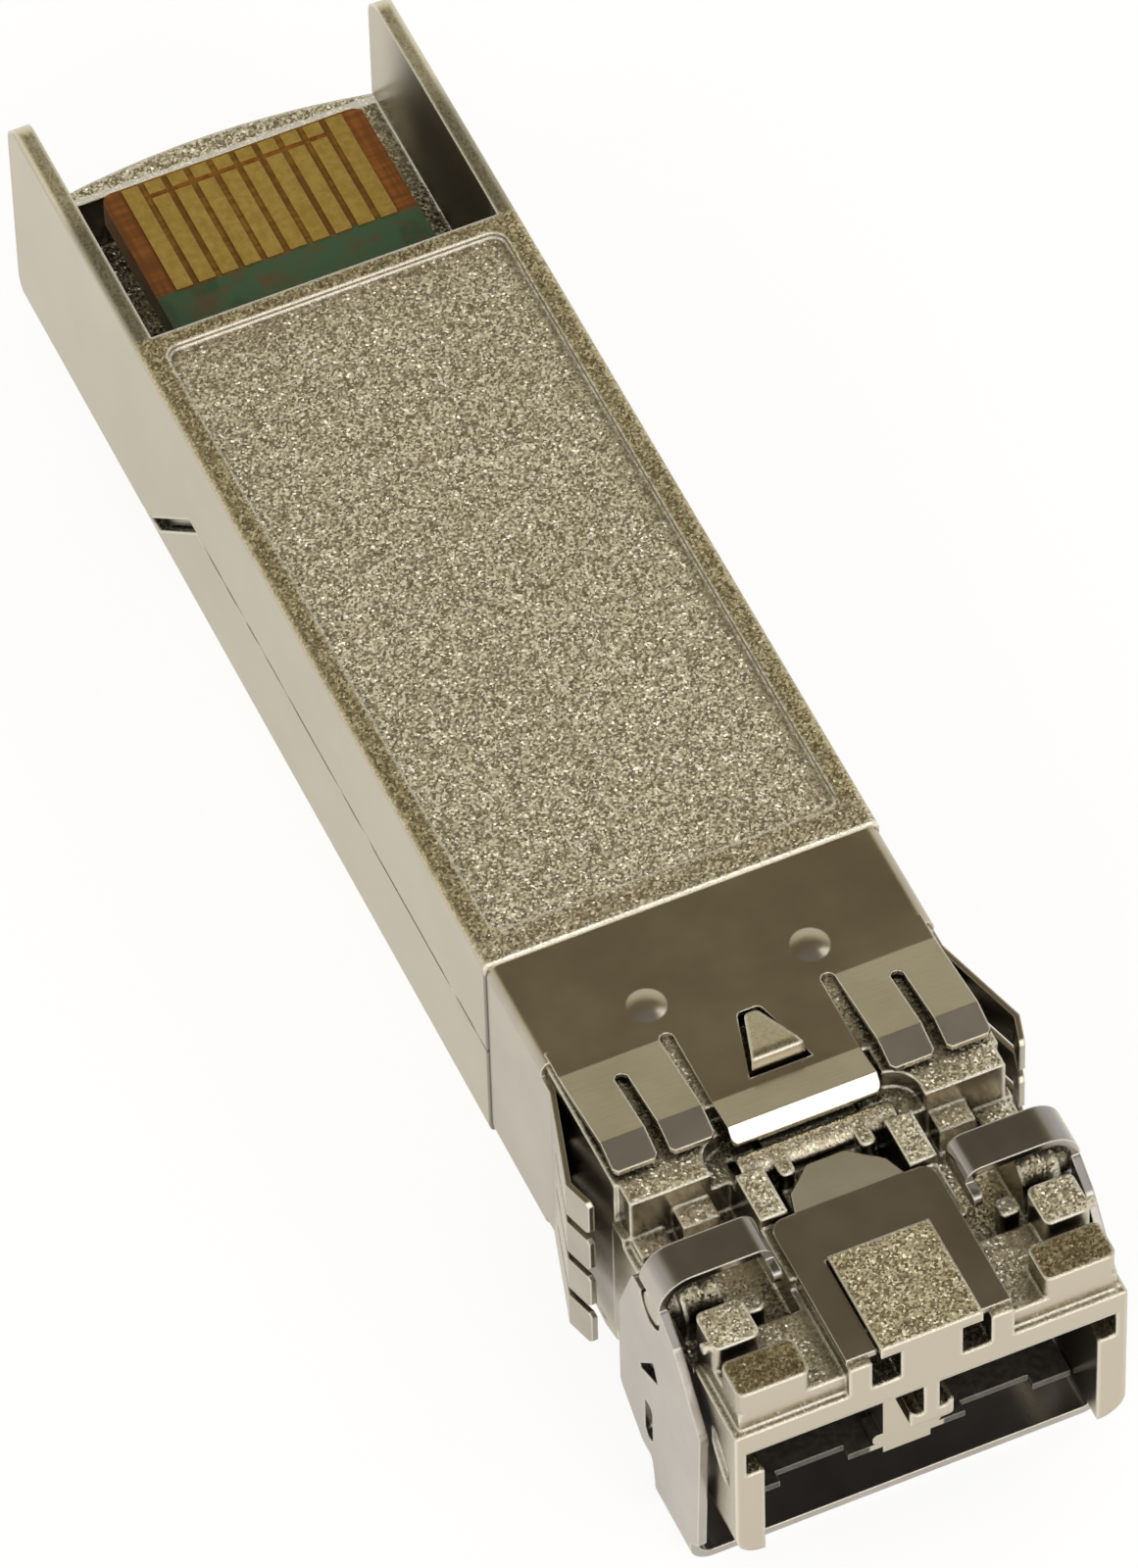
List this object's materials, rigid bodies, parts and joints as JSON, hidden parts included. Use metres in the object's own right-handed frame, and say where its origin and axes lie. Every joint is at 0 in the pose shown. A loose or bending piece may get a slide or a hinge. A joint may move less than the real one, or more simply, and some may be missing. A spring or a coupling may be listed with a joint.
{
  "type": "pluggable optical transceiver module",
  "caption": "Slim die-cast plug-in optical transceiver with a duplex fibre port, a spring collar, a card edge and a swinging bail that draws in its latch.",
  "frame": {"origin": "middle of the underside of the closed module, with the hanging bail bar as its lowest face", "axes": "+Y towards the card edge, -Y out of the fibre ports, +Z out of the latch face, +X to the right seen from the port side"},
  "size_m": [0.0154, 0.0566, 0.0119],
  "materials": {
    "nickel_casting": "nickel plated die casting with a fine grain",
    "nickel_sheet": "smooth nickel plated sheet",
    "turned_steel": "turned stainless steel",
    "ceramic": "polished white ceramic",
    "lens_glass": "polished glass",
    "board_laminate": "bare laminate with a green solder mask",
    "gold_plate": "gold plating",
    "flex_film": "amber polyimide film",
    "chip_resin": "moulded black resin",
    "capacitor_body": "fired ceramic",
    "soft_pad": "soft grey elastomer"
  },
  "bodies": {
    "housing": {"base_housing": "nickel_casting", "top_cover": "nickel_casting", "port_insert": "nickel_casting", "emi_shield": "nickel_sheet", "latch_spring": "nickel_sheet", "osa_clamp": "nickel_sheet", "transmitter_barrel": "turned_steel", "receiver_barrel": "turned_steel", "transmitter_can": "turned_steel", "receiver_can": "turned_steel", "transmitter_sleeve": "ceramic", "receiver_sleeve": "ceramic", "transmitter_fibre_stub": "ceramic", "receiver_lens": "lens_glass", "circuit_board": "board_laminate", "edge_contacts_latch_side": "gold_plate", "edge_contacts_cover_side": "gold_plate", "transmitter_flex": "flex_film", "receiver_flex": "flex_film", "laser_driver_chip": "chip_resin", "receiver_chip": "chip_resin", "controller_chip": "chip_resin", "memory_chip": "chip_resin", "chip_capacitors": "capacitor_body", "thermal_pad": "soft_pad", "absorber_pad": "soft_pad"},
    "bail": {"bail": "nickel_sheet"},
    "latch_lever": {"latch_lever": "nickel_casting"}
  },
  "joints": [
    {"name": "bail_swing", "type": "hinge", "parent": "housing", "child": "bail", "pos_m": [0, -0.02322, 0.01], "axis": [-1, 0, 0], "range_deg": [0, 90]},
    {"name": "lever_rock", "type": "hinge", "parent": "housing", "child": "latch_lever", "pos_m": [0, -0.01997, 0.01035], "axis": [-1, 0, 0], "range_deg": [0, 9.5]}
  ],
  "couplings": [
    {"joint": "lever_rock", "follows": "bail_swing", "ratio": 0.1055}
  ]
}
